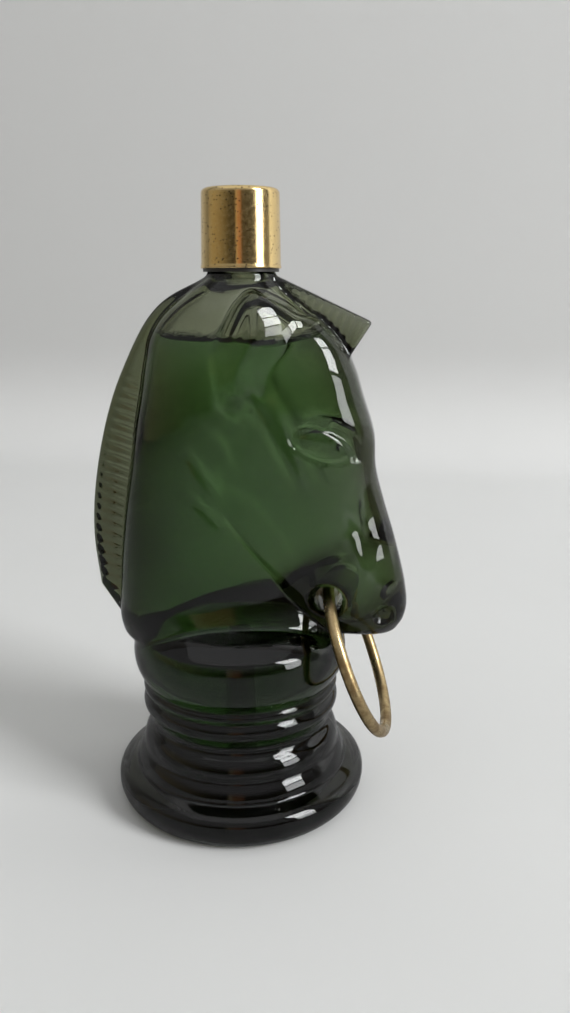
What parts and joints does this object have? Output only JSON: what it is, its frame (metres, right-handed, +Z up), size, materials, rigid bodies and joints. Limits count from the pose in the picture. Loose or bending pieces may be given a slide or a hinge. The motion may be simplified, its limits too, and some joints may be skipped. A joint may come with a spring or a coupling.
{
  "type": "aftershave bottle",
  "caption": "Green glass aftershave bottle shaped as a horse's head on a stepped round foot, with a gold screw cap over its mouth and a brass wire ring hung through the muzzle.",
  "frame": {"origin": "centre of the foot, on the surface that the bottle stands on", "axes": "+Z up, +X the way the horse looks, -Y the horse's right side, which the picture shows"},
  "size_m": [0.0759, 0.062, 0.145],
  "materials": {
    "green_glass": "gloss",
    "aftershave": "gloss",
    "gold_metal": "polished",
    "black_plastic": "satin",
    "liner_board": "matte",
    "aged_brass": "satin"
  },
  "bodies": {
    "bottle": {"glass_bottle": "green_glass", "aftershave_liquid": "aftershave"},
    "cap_wad": {"cap_liner": "liner_board"},
    "cap": {"cap_shell": "gold_metal", "cap_inner": "black_plastic"},
    "ring": {"mouth_ring": "aged_brass"}
  },
  "joints": [
    {"name": "cap_lift", "type": "slide", "parent": "bottle", "child": "cap_wad", "axis": [0, 0, 1], "range_m": [0, 0.0202]},
    {"name": "cap_turn", "type": "hinge", "parent": "cap_wad", "child": "cap", "pos_m": [0.0014, 0, 0.135], "axis": [0, 0, 1], "range_deg": [0, 3420]},
    {"name": "ring_swing", "type": "hinge", "parent": "bottle", "child": "ring", "pos_m": [0.0226, 0, 0.0541], "axis": [0, -1, 0], "range_deg": [-16, 135]}
  ],
  "couplings": [
    {"joint": "cap_lift", "follows": "cap_turn", "m_per_rad": 0.00033693}
  ]
}
